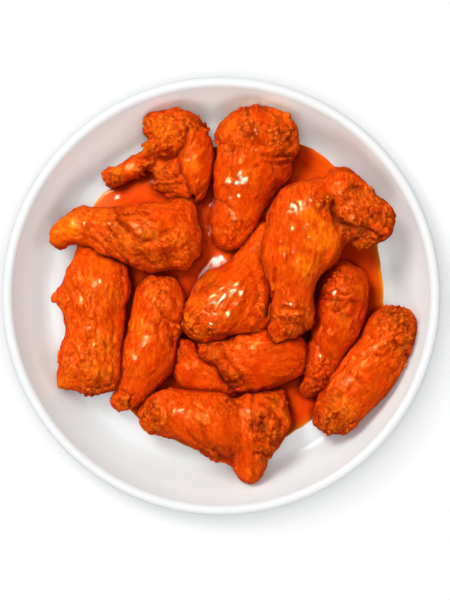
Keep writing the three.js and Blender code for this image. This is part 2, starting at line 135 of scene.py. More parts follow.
WINGS = {
    "flat_low": dict(
        grain=-30, wet=0.05, base=0.1, deep=0.3, crust=[(-26, -34, 6, 1)],
        brown=[(-26, -34, 5, 0.6)], gold=[(-10, -48, 6, 0.3)], sleek=[(-16, -46, 12, 0.8)],
        lines=[(1.1, -0.8, [(-28, -30), (-24, -37)])],
    ),
    "flat_centre": dict(
        grain=0, wet=0.05, base=0.1, deep=0.34,
        crust=[(-6, -35, 8, 1), (9, -52, 9, 1), (6, -42, 6, 0.8), (36, -31, 9, 0.35)],
        brown=[(-8, -33, 6, 0.7), (10, -54, 8, 1), (0, -45, 5, 0.9), (16, -57, 4, 0.8)],
        gold=[(-5, -35, 5, 0.8), (5, -47, 5, 0.5), (12, -33, 5, 0.4)],
        shine=[(19, -33, 1.2, 0.6), (33, -38, 1.2, 0.6)],
        sleek=[(25, -42, 13, 1), (42, -38, 8, 0.6)],
        lines=[(1.3, -1.6, [(0, -31), (2, -37), (6, -43), (12, -49), (15, -55)]),
            (1.2, -1.0, [(-10, -38), (-3, -44), (1, -51)])],
    ),
    "flat_left": dict(
        grain=92, wet=0.4, base=0.22,
        crust=[(-82, -45, 19, 0.6), (-98, -2, 8, 0.5), (-84, -4, 15, 0.4), (-80, -60, 7, 0.9)],
        brown=[(-69, -55, 8, 0.75), (-78, -55, 5, 0.6), (-97, -52, 5, 0.4), (-66, -34, 5, 0.5),
            (-72, -30, 6, 0.3)],
        gold=[(-72, -30, 8, 0.8), (-75, -44, 8, 0.7), (-98, -52, 6, 0.7), (-77, 14, 9, 0.4),
            (-68, 2, 7, 0.4), (-81, -59, 4, 0.5)],
        shine=[(-74.9, 9.2, 1.4, 0.75), (-82, -2, 6, 0.45), (-86, -10, 4, 0.4),
            (-70, 13, 1.1, 0.5)],
        sleek=[(-76, 18, 12, 0.8), (-66, -12, 8, 0.6)],
        lines=[(1.1, -0.7, [(-77, -20), (-76, -32), (-74, -42), (-75, -52)]),
            (1.0, -0.6, [(-71, -24), (-70, -36), (-69, -44)]),
            (1.1, -0.7, [(-66, -16), (-67, -32), (-66, -50)]),
            (1.0, -0.6, [(-81, -26), (-80, -36)]), (1.0, -1.0, [(-94, -15), (-90, -20)]),
            (1.2, -1.2, [(-82, -56), (-75, -57), (-68, -55)]),
            (1.0, -0.8, [(-96, 5), (-93, -2), (-96, -8)]),
            (1.0, -0.8, [(-76, 14), (-70, 13), (-66, 11)])],
    ),
    "flat_inner_left": dict(
        grain=80, wet=0.25, base=0.14, deep=0.08,
        crust=[(-34, -6, 8, 0.6), (-27, -24, 8, 0.8), (-60, -66, 7, 0.9), (-38, 7, 9, 0.7)],
        brown=[(-59, -66, 6, 0.4), (-28, -6, 4, 0.4)],
        gold=[(-53, -18, 5, 0.9), (-53, -25, 4, 0.6), (-61, -68, 5, 0.9), (-45, -22, 6, 0.3)],
        shine=[(-49, -31, 1.8, 0.85), (-51, -34.5, 1.2, 0.8), (-53, -38, 1.8, 0.85),
            (-55, -41, 1.2, 0.8), (-57, -44, 1.7, 0.85), (-28, -4, 1.5, 0.6)],
        sleek=[(-42, -40, 13, 1), (-48, -54, 8, 0.8)],
        lines=[(1.1, -1.8, [(-38, -8), (-35, -13), (-30, -16), (-25, -17)]),
            (1.0, -1.3, [(-33, -18), (-29, -24), (-30, -30)]),
            (1.0, -1.1, [(-34, 2), (-29, -2), (-25, -8)]),
            (0.9, 0.9, [(-47, -30), (-51, -37), (-54, -44), (-58, -50)]),
            (1.0, -1.0, [(-39, -18), (-38, -26), (-35, -33)]),
            (1.0, -1.0, [(-40, -46), (-45, -50)]),
            (1.3, -1.4, [(-66, -60), (-60, -59), (-55, -62)])],
    ),
    "flat_right": dict(
        grain=53, wet=0.2, base=0.26, deep=0.1,
        crust=[(108, -14, 14, 1), (71, -76, 13, 1), (112, -32, 12, 0.9)],
        brown=[(106, -9, 9, 1), (117, -22, 8, 0.9), (114, -34, 5, 0.6), (63, -76, 9, 1),
            (73, -83, 8, 1), (66, -64, 6, 0.9), (78, -78, 6, 0.5), (98, -14, 6, 0.6)],
        gold=[(108, -12, 7, 0.9), (73, -65, 7, 0.9), (78, -70, 5, 0.9), (68, -79, 6, 0.8),
            (115, -27, 5, 0.7)],
        sleek=[(90, -46, 10, 0.7), (97, -56, 8, 0.5)],
        lines=[(1.0, -1.0, [(84, -50), (88, -54), (94, -56)]),
            (1.0, -0.9, [(95, -36), (99, -38), (103, -35)]),
            (1.0, -1.2, [(70, -57), (74, -62), (73, -68)])],
    ),
    "drumette_right": dict(
        grain=72, wet=0.12, base=0.2, deep=0.42,
        shade=[(62, -2, 6, 0.8), (60, -18, 6, 0.8), (55, -34, 6, 0.7), (70, 10, 5, 0.5)],
        crust=[(73, 8, 11, 0.9), (62, -46, 11, 0.9), (70, -6, 10, 0.6), (56, -57, 8, 0.9)],
        brown=[(67, 12, 8, 0.7), (67, -2, 8, 0.5), (58, -30, 7, 0.5), (54, -57, 6, 0.8),
            (82, -4, 3, 0.8)],
        gold=[(76, -15, 6, 1), (75, -22, 5, 0.7), (86, 3, 6, 0.5), (70, -34, 6, 0.3)],
        shine=[(68.7, 2.5, 3, 0.6), (73, -8, 1.6, 0.6), (72, -28, 1.3, 0.6)],
        sleek=[(86, -1, 6, 0.8), (72, -26, 8, 0.7)],
        lines=[(1.0, -1.5, [(71, -10), (75, -11), (80, -13)]), (1.1, -1.7, [(80, -3), (83, -5)]),
            (1.2, -1.2, [(60, -30), (64, -36), (70, -40)]),
            (1.1, -1.2, [(54, -50), (60, -53), (66, -52)]),
            (0.9, 0.8, [(91, 6), (91, -6), (88, -14)])],
    ),
    "drumette_back_left": dict(
        grain=60, wet=0.15, base=0.25, deep=0.12,
        crust=[(-33, 102, 19, 0.85), (-42, 92, 10, 0.9), (-34, 72, 10, 0.9), (-46, 76, 9, 1),
            (-69, 75, 7, 0.9), (-14, 106, 8, 1)],
        brown=[(-30, 78, 7, 1), (-36, 87, 7, 0.7), (-45, 79, 8, 0.9), (-68, 72, 6, 0.8),
            (-33, 61, 5, 1), (-13, 108, 7, 0.9), (-25, 89, 6, 0.7), (-30, 67, 8, 0.6)],
        gold=[(-35, 101, 9, 0.9), (-47, 92, 6, 1), (-22, 104, 6, 0.6), (-18, 80, 6, 0.9),
            (-65, 77, 6, 0.8), (-39, 80, 4, 0.6), (-56, 80, 5, 0.5), (-47, 107, 4, 0.7)],
        shine=[(-24.5, 81.3, 2.4, 0.8), (-20, 84, 1.3, 0.7), (-17, 76, 1.2, 0.6)],
        sleek=[(-15, 82, 11, 1), (-58, 79, 5, 0.5)],
        lines=[(1.5, -2.4, [(-50, 86), (-42, 86.5), (-34, 84), (-27, 87), (-22, 93), (-20, 103)]),
            (1.3, -1.8, [(-27, 84), (-24, 75), (-20, 68), (-17, 61)]),
            (1.0, -1.3, [(-44, 73), (-36, 72), (-27, 73)]),
            (1.0, -1.3, [(-45, 66.5), (-38, 64.5), (-30, 64)]),
            (0.9, -1.1, [(-40, 69.5), (-32, 69), (-24, 69.5)]),
            (1.1, -1.6, [(-48, 106), (-45, 104)]), (1.1, -1.4, [(-43, 100), (-41, 97)]),
            (1.0, -1.2, [(-29, 111), (-26, 108), (-27, 104)]),
            (1.2, -1.6, [(-50, 80), (-44, 77), (-41, 72)]), (0.9, -0.9, [(-70, 76), (-64, 74)]),
            (2.2, -4.0, [(-58, 98.5), (-45, 97.5)])],
    ),
    "drumette_back": dict(
        grain=72, base=0.12, deep=0.08,
        shade=[(42, 78, 6, 0.6), (36, 68, 6, 0.7), (31, 57, 6, 0.7), (27, 46, 6, 0.7)],
        crust=[(38, 96, 12, 1), (18, 102, 9, 1), (3, 95, 11, 0.6), (8, 40, 10, 0.45),
            (16, 114, 7, 0.8), (36, 110, 8, 0.6)],
        brown=[(38, 97, 10, 0.9), (18, 101, 8, 0.7), (36, 87, 8, 0.8), (3, 90, 5, 0.4),
            (46, 88, 4, 0.7), (16, 115, 4, 0.8)],
        gold=[(5, 106, 7, 0.7), (36, 112, 6, 0.8), (30, 93, 6, 0.4), (18, 74, 8, 0.3)],
        shine=[(11.8, 74, 2.6, 1), (14.5, 71.5, 2.9, 1), (11, 69.3, 2.3, 1),
            (4.6, 71.2, 2.4, 0.95), (21.5, 90.2, 2.6, 0.85), (24.9, 102.5, 1.8, 0.8),
            (6.1, 60.7, 1.5, 0.9), (10.7, 62, 1.3, 0.9), (12.3, 99.7, 1.3, 0.7),
            (8, 47.2, 1.6, 0.9)],
        sleek=[(25, 96, 5, 1), (17, 76, 12, 1), (14, 58, 10, 0.9), (24, 112, 6, 0.8)],
        lines=[(1.1, -1.7, [(26, 86.5), (34, 85), (44, 86.5)]),
            (1.0, -1.4, [(26, 82.5), (36, 81), (45, 83.5)]),
            (1.2, -1.4, [(20, 105), (20, 99), (24, 93), (30, 91)]),
            (0.9, -1.6, [(22, 80), (23.5, 79.5)]), (0.8, -1.0, [(17, 67), (18, 66)]),
            (0.8, -1.0, [(22, 60), (23, 60)]), (0.9, -0.8, [(6, 91), (7, 84), (6, 76)]),
            (1.0, -0.9, [(-2, 60), (4, 56), (8, 52)]), (1.2, 0.9, [(10, 71), (12, 74), (16, 75)]),
            (1.6, 2.4, [(22, 114), (22, 119)]), (1.3, 1.8, [(16, 113), (15, 116)]),
            (1.2, 1.6, [(41, 110), (43, 113)]), (1.0, 0.7, [(2, 72), (6, 71)]),
            (1.0, 0.7, [(6, 47), (9, 47)])],
    ),
    "drumette_front": dict(
        grain=-75, wet=0.18, base=0.18, deep=0.1,
        crust=[(-43, -75, 10, 1), (27, -80, 12, 1), (36, -62, 8, 1), (6, -66, 7, 0.7),
            (-6, -96, 9, 0.5), (26, -97, 7, 0.8)],
        brown=[(-44, -69, 8, 1), (-38, -81, 6, 0.8), (24, -78, 8, 0.9), (33, -86, 8, 1),
            (26, -97, 6, 0.9), (-5, -96, 9, 0.7), (-14, -88, 6, 0.4), (8, -66, 6, 0.6)],
        gold=[(-36, -74, 5, 1), (-46, -82, 5, 0.8), (34, -66, 5, 0.9), (39, -74, 4, 0.8),
            (32, -97, 5, 0.6), (20, -110, 6, 0.5), (-2, -75, 5, 0.3)],
        shine=[(-24.5, -71, 2.8, 0.85), (-27, -66, 1.6, 0.7), (-19, -75, 1.3, 0.6),
            (27, -82, 1.3, 0.6), (22, -106, 1.3, 0.6)],
        sleek=[(0, -82, 10, 1), (16, -94, 7, 0.9), (-24, -76, 9, 0.7)],
        lines=[(1.5, -0.7, [(4, -58), (10, -68), (13, -80), (12, -92), (14, -102)]),
            (1.1, -1.2, [(20, -60), (19, -72), (20, -84)]),
            (1.5, -1.4, [(-12, -80), (-9, -88), (-4, -95), (1, -100), (8, -104)]),
            (1.0, -1.2, [(-20, -85), (-15, -90), (-8, -94)]),
            (0.9, 0.8, [(-10, -70), (-5, -67), (0, -70)]),
            (0.9, -0.9, [(-14, -68), (-8, -72), (-4, -78)]), (1.0, -1.6, [(21, -97), (27, -98)]),
            (1.0, -1.4, [(20, -104), (21, -112)]), (0.9, 0.9, [(27, -63), (34, -67), (40, -74)]),
            (1.0, -1.4, [(25, -67), (33, -71), (38, -79)]),
            (1.0, -1.3, [(27, -80), (28, -88), (32, -92)]), (1.3, 0.9, [(-26, -71), (-21, -68)]),
            (1.0, -1.0, [(-34, -63), (-31, -70), (-33, -79)])],
    ),
    "drumette_centre": dict(
        grain=45, base=0.12,
        crust=[(-19, -17, 8, 1), (25, -4, 9, 0.5), (-7, -20, 6, 0.7), (23, -22, 7, 0.6)],
        brown=[(-20, -24, 5, 0.8), (-6, -22, 4, 0.6), (-11, 11, 8, 0.7), (29, -10, 5, 0.8),
            (24, 30, 6, 0.5), (26, 18, 5, 0.4)],
        gold=[(-21, -16, 5, 1), (-10, 12, 8, 0.6), (-17, -4, 5, 0.6), (-16, -24, 5, 0.7),
            (30, -10, 5, 0.8)],
        shine=[(12.3, 1.2, 2.8, 0.9), (8.5, -4, 2.4, 0.8), (5, -11.6, 2.8, 0.9),
            (25.2, -7.4, 1.6, 0.85), (-6.7, -16.6, 1.4, 0.8), (14, 7, 1.6, 0.7),
            (20, -2, 1.3, 0.7)],
        sleek=[(8, 10, 14, 1), (8, -12, 10, 0.8), (18, 22, 8, 0.6)],
        lines=[(1.2, -1.1, [(-17, 2), (-10, 6), (-2, 7)]),
            (1.4, 1.1, [(15, 5), (13, 1), (13, -2)]), (1.3, 1.1, [(5, -2), (3, -6), (2, -8)]),
            (1.4, 1.0, [(6, -9), (5, -12), (3, -14)]), (1.0, 0.8, [(17, -9), (16, -12)]),
            (1.0, -1.3, [(-9, -7), (-6, -9), (-5, -6)]),
            (1.1, -1.3, [(-8, -20), (-4, -24), (4, -24)]),
            (1.1, -1.5, [(31, 16), (32, 6), (31, -3), (28, -12)]),
            (0.9, -0.9, [(22, 6), (24, 0), (21, -6)])],
    ),
    "drumette_left": dict(
        grain=-38, wet=0.15, base=0.3,
        crust=[(-40, 34, 17, 0.65), (-64, 34, 13, 0.55), (-28, 34, 12, 0.5), (-48, 50, 8, 0.45)],
        brown=[(-63, 42, 9, 0.6), (-44, 36, 6, 0.45), (-46, 24, 8, 0.4), (-34, 20, 8, 0.35),
            (-62, 28, 5, 0.3), (-64, 55, 5, 0.3)],
        gold=[(-97, 42, 10, 1), (-86, 51, 6, 0.5), (-58, 35, 6, 0.8), (-44, 37, 6, 0.8),
            (-73, 52, 6, 0.4), (-27, 35, 5, 0.4)],
        shine=[(-84, 44, 1.6, 0.8), (-77, 42.5, 1.2, 0.7), (-36, 46, 1.3, 0.6),
            (-58, 33, 1.3, 0.5), (-51, 35, 1.2, 0.5)],
        sleek=[(-96, 41, 10, 1), (-34, 47, 8, 0.9), (-57, 45, 5, 0.8), (-82, 46, 7, 0.7)],
        lines=[(1.2, -2.2, [(-63, 47), (-57, 42), (-53, 37), (-48, 33.5), (-43, 34)]),
            (1.0, -1.5, [(-64, 53), (-58, 50), (-51, 52), (-44, 50)]),
            (1.0, -1.6, [(-42, 47), (-40, 46)]),
            (0.9, 0.9, [(-40, 31), (-33, 30), (-28, 33), (-26, 39)]),
            (1.0, -1.2, [(-42, 41), (-36, 38), (-31, 41)]),
            (1.0, -1.1, [(-76, 39), (-70, 34), (-64, 27), (-57, 21)]),
            (1.0, -1.1, [(-80, 36), (-72, 29), (-64, 22)]),
            (1.0, -1.1, [(-70, 42), (-64, 36), (-60, 28), (-52, 23)]),
            (1.2, -1.3, [(-50, 28), (-46, 22), (-40, 19)]),
            (1.1, -1.2, [(-36, 30), (-33, 24), (-26, 22)]),
            (0.9, -0.8, [(-90, 37), (-84, 38), (-80, 42)])],
    ),
    "drumette_top": dict(
        grain=88, base=0.04,
        crust=[(84, 52, 19, 0.8), (66, 56, 8, 0.9), (86, 37, 12, 1), (44, -14, 12, 0.8),
            (98, 49, 9, 1), (40, 44, 9, 0.3)],
        brown=[(85, 38, 9, 0.9), (64, 56, 6, 0.9), (71, 46, 5, 1), (77, 43, 6, 1),
            (81, 66, 5, 0.9), (95, 47, 5, 0.7), (78, 30, 5, 1), (68, 52, 4, 0.9),
            (29, -12, 5, 0.8), (46, -19, 8, 0.45), (76, 62, 4, 0.6)],
        gold=[(61, 36, 11, 1), (52, 19, 8, 1), (53, 47, 6, 0.8), (38, 28, 3, 0.9), (33, 6, 3, 0.6),
            (90, 60, 7, 0.4), (102, 46, 4, 0.6), (52, 10, 5, 0.6)],
        shine=[(56.5, 62.6, 2.2, 0.9), (52.8, 55.8, 3, 0.8), (44.2, 54.6, 3, 0.75),
            (53.2, 44, 1.8, 0.9), (54.2, 40, 1.8, 0.9), (53, 35.5, 2, 0.9), (43, 40, 1.7, 0.9),
            (43.9, 27, 1.5, 0.9), (38.6, 25.2, 1.4, 0.8), (42.3, -6.7, 2.8, 0.85),
            (49, -19, 1.3, 0.7), (38, -17.5, 1.3, 0.7)],
        sleek=[(48, 30, 22, 1), (46, 8, 12, 0.8), (62, 70, 8, 0.6)],
        lines=[(1.8, -2.8, [(69, 58), (67, 52), (70, 47), (76, 43), (81, 41)]),
            (1.4, -2.2, [(80, 42), (87, 42), (93, 39), (98, 36)]),
            (1.6, -2.6, [(83, 35), (78, 31), (76, 27)]),
            (1.1, -1.9, [(76, 64), (80, 66), (87, 66)]),
            (1.1, -1.6, [(92, 49), (94, 45), (98, 49)]),
            (1.0, -1.2, [(72, 60), (76, 58), (84, 57)]),
            (1.0, 1.0, [(36, 32), (38, 27), (39, 21)]),
            (1.2, 0.9, [(52, 41), (51.5, 36), (55, 36)]), (1.3, 0.9, [(54, 60), (57, 62)]),
            (1.1, 0.9, [(54, 55), (56, 53)]), (1.0, 0.7, [(42, 56), (46, 55)]),
            (1.0, 0.8, [(43, 27), (44, 28)]), (1.2, 1.0, [(39, -5), (43, -7), (48, -7)]),
            (1.2, -1.3, [(33, 16), (33, 4), (31, -6), (29, -16)]),
            (0.9, 0.7, [(56, 34), (57, 26), (54, 16), (50, 10)]),
            (1.0, -0.9, [(48, -12), (52, -16), (50, -22)]),
            (1.0, -0.9, [(38, -14), (42, -18), (40, -24)])],
    ),
}
HEAP = list(WINGS)  # from the bottom up: a wing lies under those after it


def patches(points, spots, ragged):
    """How much of a kind of patch there is at each point, 0 to 1, with ragged edges."""
    amount = np.zeros(len(points), np.float32)
    for x, y, radius, strength in spots:
        d = np.hypot(points[:, 0] - x, points[:, 1] - y) / radius + ragged
        amount = np.maximum(amount, strength * (1 - step_up(d, 0.5, 1.2)))
    return amount


def distance_to_line(points, line):
    """Distance from each point to a line of (x, y) points, seen from above."""
    best = np.full(len(points), 1e9, np.float32)
    for (ax, ay), (bx, by) in zip(line, line[1:]):
        ex, ey = bx - ax, by - ay
        t = ((points[:, 0] - ax) * ex + (points[:, 1] - ay) * ey) / (ex * ex + ey * ey)
        t = np.clip(t, 0, 1)
        gap = np.hypot(points[:, 0] - ax - t * ex, points[:, 1] - ay - t * ey)
        best = np.minimum(best, gap)
    return best


def along_grain(points, wing):
    """Points turned so that x runs along the wing's grain, and drawn out along it."""
    heading = math.radians(wing["grain"])
    along = points[:, 0] * math.cos(heading) + points[:, 1] * math.sin(heading)
    across = points[:, 1] * math.cos(heading) - points[:, 0] * math.sin(heading)
    return np.stack([along * 0.4, across, points[:, 2]], 1)


def surface(points, wing, lattice):
    """The skin at each point: relief height in millimetres, what it is made of, and painted shade.
    """
    ragged = 0.4 * lattice.smooth(points, 6) + 0.3 * lattice.smooth(points, 2.6)
    look = {kind: patches(points, wing[kind], ragged) for kind in ("brown", "gold", "sleek")}
    crust = np.maximum(patches(points, wing["crust"], ragged), wing["base"])
    crust *= 1 - 0.85 * look["sleek"]

    drawn = along_grain(points, wing)

    # Skin: broad lumps, and wrinkles along the grain that fade where the skin is sleek.
    height = lattice.smooth(points, 12) + 0.65 * lattice.smooth(points + 33, 6)
    rough_skin = 1 - 0.75 * look["sleek"]
    wrinkle = np.abs(lattice.smooth(drawn + 40, 4.2))
    # Painted shade: the wrinkles' troughs are marked for darker colour.
    pit = (1 - step_up(wrinkle, 0.0, 0.16)) * rough_skin * 0.15
    height += rough_skin * (0.6 * np.minimum(wrinkle * 2.5, 1) - 0.4)
    fine = lattice.smooth(drawn + 90, 1.9)
    height += rough_skin * 0.24 * fine + look["sleek"] * 0.3 * lattice.smooth(points + 60, 3.2)

    # Batter: knobs and crumbs on uneven lumps, with painted shade in the gaps between them, and on
    #     # the knobs' tops their golden colour, partly painted light.
    fried = np.nonzero(crust > 0.05)[0]
    at = points[fried]
    warped = at + 1.1 * np.stack([lattice.smooth(at + s, 3.5) for s in (11, 23, 37)], 1)
    knob = lattice.cells(warped, 3.6)
    crumb = lattice.cells(warped + 51, 2.1)
    lump = lattice.smooth(warped + 7, 7.5)
    batter = 2.7 * (0.56 - knob) + 1.5 * (0.56 - crumb) + 1.7 * lump
    height[fried] += crust[fried] * batter
    gap = np.maximum(step_up(knob, 0.6, 0.92), 0.8 * step_up(-lump, 0.35, 0.75))
    pit[fried] = np.maximum(pit[fried] * (1 - crust[fried]), crust[fried] * gap)
    look["nub"] = np.zeros(len(points), np.float32)
    look["nub"][fried] = np.minimum(1, 1.3 * crust[fried]) * step_up(batter, 0.0, 1.1)

    for width, rise, line in wing["lines"]:
        close = np.exp(-((distance_to_line(points, line) / (width * (1 + 0.35 * ragged))) ** 2))
        height += rise * close
        # A sunk line is also painted darker, as shade in the crease.
        if rise < 0:
            pit = np.maximum(pit, close * min(1.0, -rise / 2.6))
    look.update(crust=crust, pit=pit)
    return height, look


# ---- Wings: solid -> distance field -> relief -> mesh ----

def solid_of(node):
    """A CAD node's points in millimetres and its triangles, with shared points merged."""
    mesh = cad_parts[node].data
    mesh.calc_loop_triangles()
    points = np.empty(len(mesh.vertices) * 3, np.float32)
    mesh.vertices.foreach_get("co", points)
    triangles = np.empty(len(mesh.loop_triangles) * 3, np.int32)
    mesh.loop_triangles.foreach_get("vertices", triangles)
    points = np.round(points.reshape(-1, 3) / MM, 3)
    points, index = np.unique(points, axis=0, return_inverse=True)
    triangles = index.reshape(-1)[triangles].reshape(-1, 3)
    flat = (triangles == np.roll(triangles, 1, 1)).any(axis=1)
    return points.astype(np.float32), triangles[~flat].astype(np.uint32)


def blur(field, sigma):
    """Gaussian blur along each axis."""
    reach = int(math.ceil(2.5 * sigma))
    weights = np.exp(-0.5 * (np.arange(-reach, reach + 1) / sigma) ** 2)
    weights /= weights.sum()
    for axis in range(3):
        pad = [(0, 0)] * 3
        pad[axis] = (reach, reach)
        padded = np.pad(field, pad, mode="edge")
        total = np.zeros_like(field)
        for i, w in enumerate(weights):
            window = [slice(None)] * 3
            window[axis] = slice(i, i + field.shape[axis])
            total += np.float32(w) * padded[tuple(window)]
        field = total
    return field


BAND = 7.6  # half-width of the distance field round the surface
RELIEF_REACH = 4.4  # relief is worked into the field this far from the surface
RELIEF_LIMIT = RELIEF_REACH - 0.4
ROUNDING = 1.5  # how far the facets are blurred away
MARGIN = 5  # voxels of room round a field
CLEARANCE = 0.15  # from a wing to the dish, and to the wings that lie on it
FILM = 0.85  # how far a film of sauce smooths the relief under it
PLUMP = 0.8  # how far a wing's skin stands out from its rounded solid
WINDOW = (-0.36, 0.36, 0.87)  # where the food's light comes from


class Field:
    """A distance field on the shared voxel lattice, with its lowest voxel's index."""

    def __init__(self, node):
        points, triangles = solid_of(node)
        grid = openvdb.FloatGrid.createLevelSetFromPolygons(
            points,
            triangles=triangles,
            transform=openvdb.createLinearTransform(voxelSize=VOXEL),
            halfWidth=BAND / VOXEL,
        )
        low, high = grid.evalActiveVoxelBoundingBox()
        self.low = np.array(low) - MARGIN
        shape = np.array(high) - self.low + 1 + MARGIN
        self.values = np.empty(shape, np.float32)
        grid.copyToArray(self.values, ijk=tuple(int(i) for i in self.low))
        self.values = blur(self.values, ROUNDING / VOXEL) - PLUMP
        slopes = np.gradient(self.values)
        length = np.sqrt(slopes[0] ** 2 + slopes[1] ** 2 + slopes[2] ** 2)
        self.level_z = slopes[2] / np.maximum(length, 1e-4)

    def index_of(self, points):
        return np.round(points / VOXEL).astype(int) - self.low

    def levelness(self, points):
        """How level the plain form is: 1 on top, 0 on its sides."""
        i, j, k = np.clip(self.index_of(points), 0, np.array(self.values.shape) - 1).T
        return self.level_z[i, j, k]

    def distance(self, points):
        """How far points are from this wing, up to the band's width."""
        index = self.index_of(points)
        inside = ((index >= 0) & (index < self.values.shape)).all(axis=1)
        i, j, k = np.where(inside[:, None], index, 0).T
        return np.where(inside, self.values[i, j, k], BAND)

    def near(self, reach):
        """Indices and positions in millimetres of the voxels near the surface."""
        index = np.nonzero(np.abs(self.values) < reach)
        points = (np.stack(index, 1) + self.low) * VOXEL
        return index, points.astype(np.float32)

    def stay_in_dish(self):
        index, points = self.near(BAND)
        self.values[index] = np.maximum(self.values[index], CLEARANCE - above_dish(points))

    def cut_by(self, other):
        low = np.maximum(self.low, other.low)
        high = np.minimum(self.low + self.values.shape, other.low + other.values.shape)
        if (high <= low).any():
            return
        mine = tuple(slice(a, b) for a, b in zip(low - self.low, high - self.low))
        theirs = tuple(slice(a, b) for a, b in zip(low - other.low, high - other.low))
        self.values[mine] = np.maximum(self.values[mine], CLEARANCE - other.values[theirs])

    def film_normals(self, points):
        """Which way a film of sauce faces that fills in the finest relief."""
        film = blur(self.values, FILM / VOXEL)
        place = points / VOXEL - self.low
        base = np.clip(np.floor(place).astype(int), 0, np.array(film.shape) - 2)
        part = place - base
        normals = np.zeros((len(points), 3))
        for axis, slope in enumerate(np.gradient(film)):
            for corner in np.ndindex(2, 2, 2):
                share = np.prod(np.where(corner, part, 1 - part), axis=1)
                i, j, k = (base + corner).T
                normals[:, axis] += share * slope[i, j, k]
        return normals / np.maximum(np.linalg.norm(normals, axis=1), 1e-6)[:, None]

    def level(self, height):
        """The field in the horizontal plane at a height, and its lowest x and y index."""
        k = int(round(height / VOXEL)) - self.low[2]
        return self.values[:, :, k], self.low[:2]

    def mesh(self):
        grid = openvdb.FloatGrid(BAND)
        grid.transform = openvdb.createLinearTransform(voxelSize=VOXEL)
        grid.copyFromArray(self.values, ijk=tuple(int(i) for i in self.low))
        points, quads = grid.convertToQuads(isovalue=0.0)
        return points.astype(np.float64), quads[:, ::-1].astype(np.int32)


def new_piece(name, points, faces, material, smooth=True):
    """A mesh object from points in millimetres."""
    mesh = bpy.data.meshes.new(name)
    mesh.from_pydata((np.asarray(points) * MM).tolist(), [], faces)
    mesh.validate()
    mesh.polygons.foreach_set("use_smooth", [smooth] * len(mesh.polygons))
    mesh.materials.append(material)
    piece = bpy.data.objects.new(name, mesh)
    scene.collection.objects.link(piece)
    return piece


def paint(piece, name, values):
    """Gives a piece a number or a vector at each point, for its material to read."""
    values = np.asarray(values, np.float32)
    if values.ndim == 1:
        layer = piece.data.attributes.new(name, "FLOAT", "POINT")
        layer.data.foreach_set("value", values)
    else:
        layer = piece.data.attributes.new(name, "FLOAT_VECTOR", "POINT")
        layer.data.foreach_set("vector", values.ravel())


# ---- Materials ----

class Nodes:
    """A small helper for building a material's node tree."""

    def __init__(self, name):
        self.material = bpy.data.materials.new(name)
        self.material.use_nodes = True
        self.tree = self.material.node_tree

    def put(self, value, socket):
        """Links a node's output into a socket, or sets the socket's own value."""
        if isinstance(value, bpy.types.NodeSocket):
            self.tree.links.new(value, socket)
        elif socket.type == "RGBA":
            socket.default_value = (*value, 1.0)
        else:
            socket.default_value = value

    def add(self, kind, sockets=None, **settings):
        node = self.tree.nodes.new(kind)
        for key, value in settings.items():
            setattr(node, key, value)
        for key, value in (sockets or {}).items():
            self.put(value, node.inputs[key])
        return node

    def finish(self, sockets):
        """The material, once its shader's sockets are set or linked."""
        for key, value in sockets.items():
            self.put(value, self.tree.nodes["Principled BSDF"].inputs[key])
        return self.material

    def attribute(self, name, output="Fac"):
        return self.add("ShaderNodeAttribute", attribute_name=name).outputs[output]

    def position(self):
        return self.add("ShaderNodeTexCoord").outputs["Object"]

    def noise(self, per_metre, detail=3.0, rough=0.5, distort=0.0, at=None):
        return self.add("ShaderNodeTexNoise", {
            "Vector": at or self.position(), "Scale": per_metre, "Detail": detail,
            "Roughness": rough, "Distortion": distort,
        }).outputs["Fac"]

    def remap(self, value, low, high, to_low=0.0, to_high=1.0):
        return self.add("ShaderNodeMapRange", {
            "Value": value, "From Min": low, "From Max": high, "To Min": to_low, "To Max": to_high,
        }, clamp=True).outputs["Result"]

    def math(self, operation, a, b):
        return self.add("ShaderNodeMath", {0: a, 1: b}, operation=operation).outputs[0]

    def times(self, a, b):
        return self.math("MULTIPLY", a, b)

    def mix(self, fac, a, b):
        sockets = {"Factor": fac, "A": a, "B": b}
        return self.add("ShaderNodeMix", sockets, data_type="RGBA").outputs["Result"]

    def bump(self, height, distance, strength=1.0, under=None):
        """The normal of a relief, which may lie on another."""
        sockets = {"Height": height, "Distance": distance, "Strength": strength}
        if under:
            sockets["Normal"] = under
        return self.add("ShaderNodeBump", sockets).outputs["Normal"]


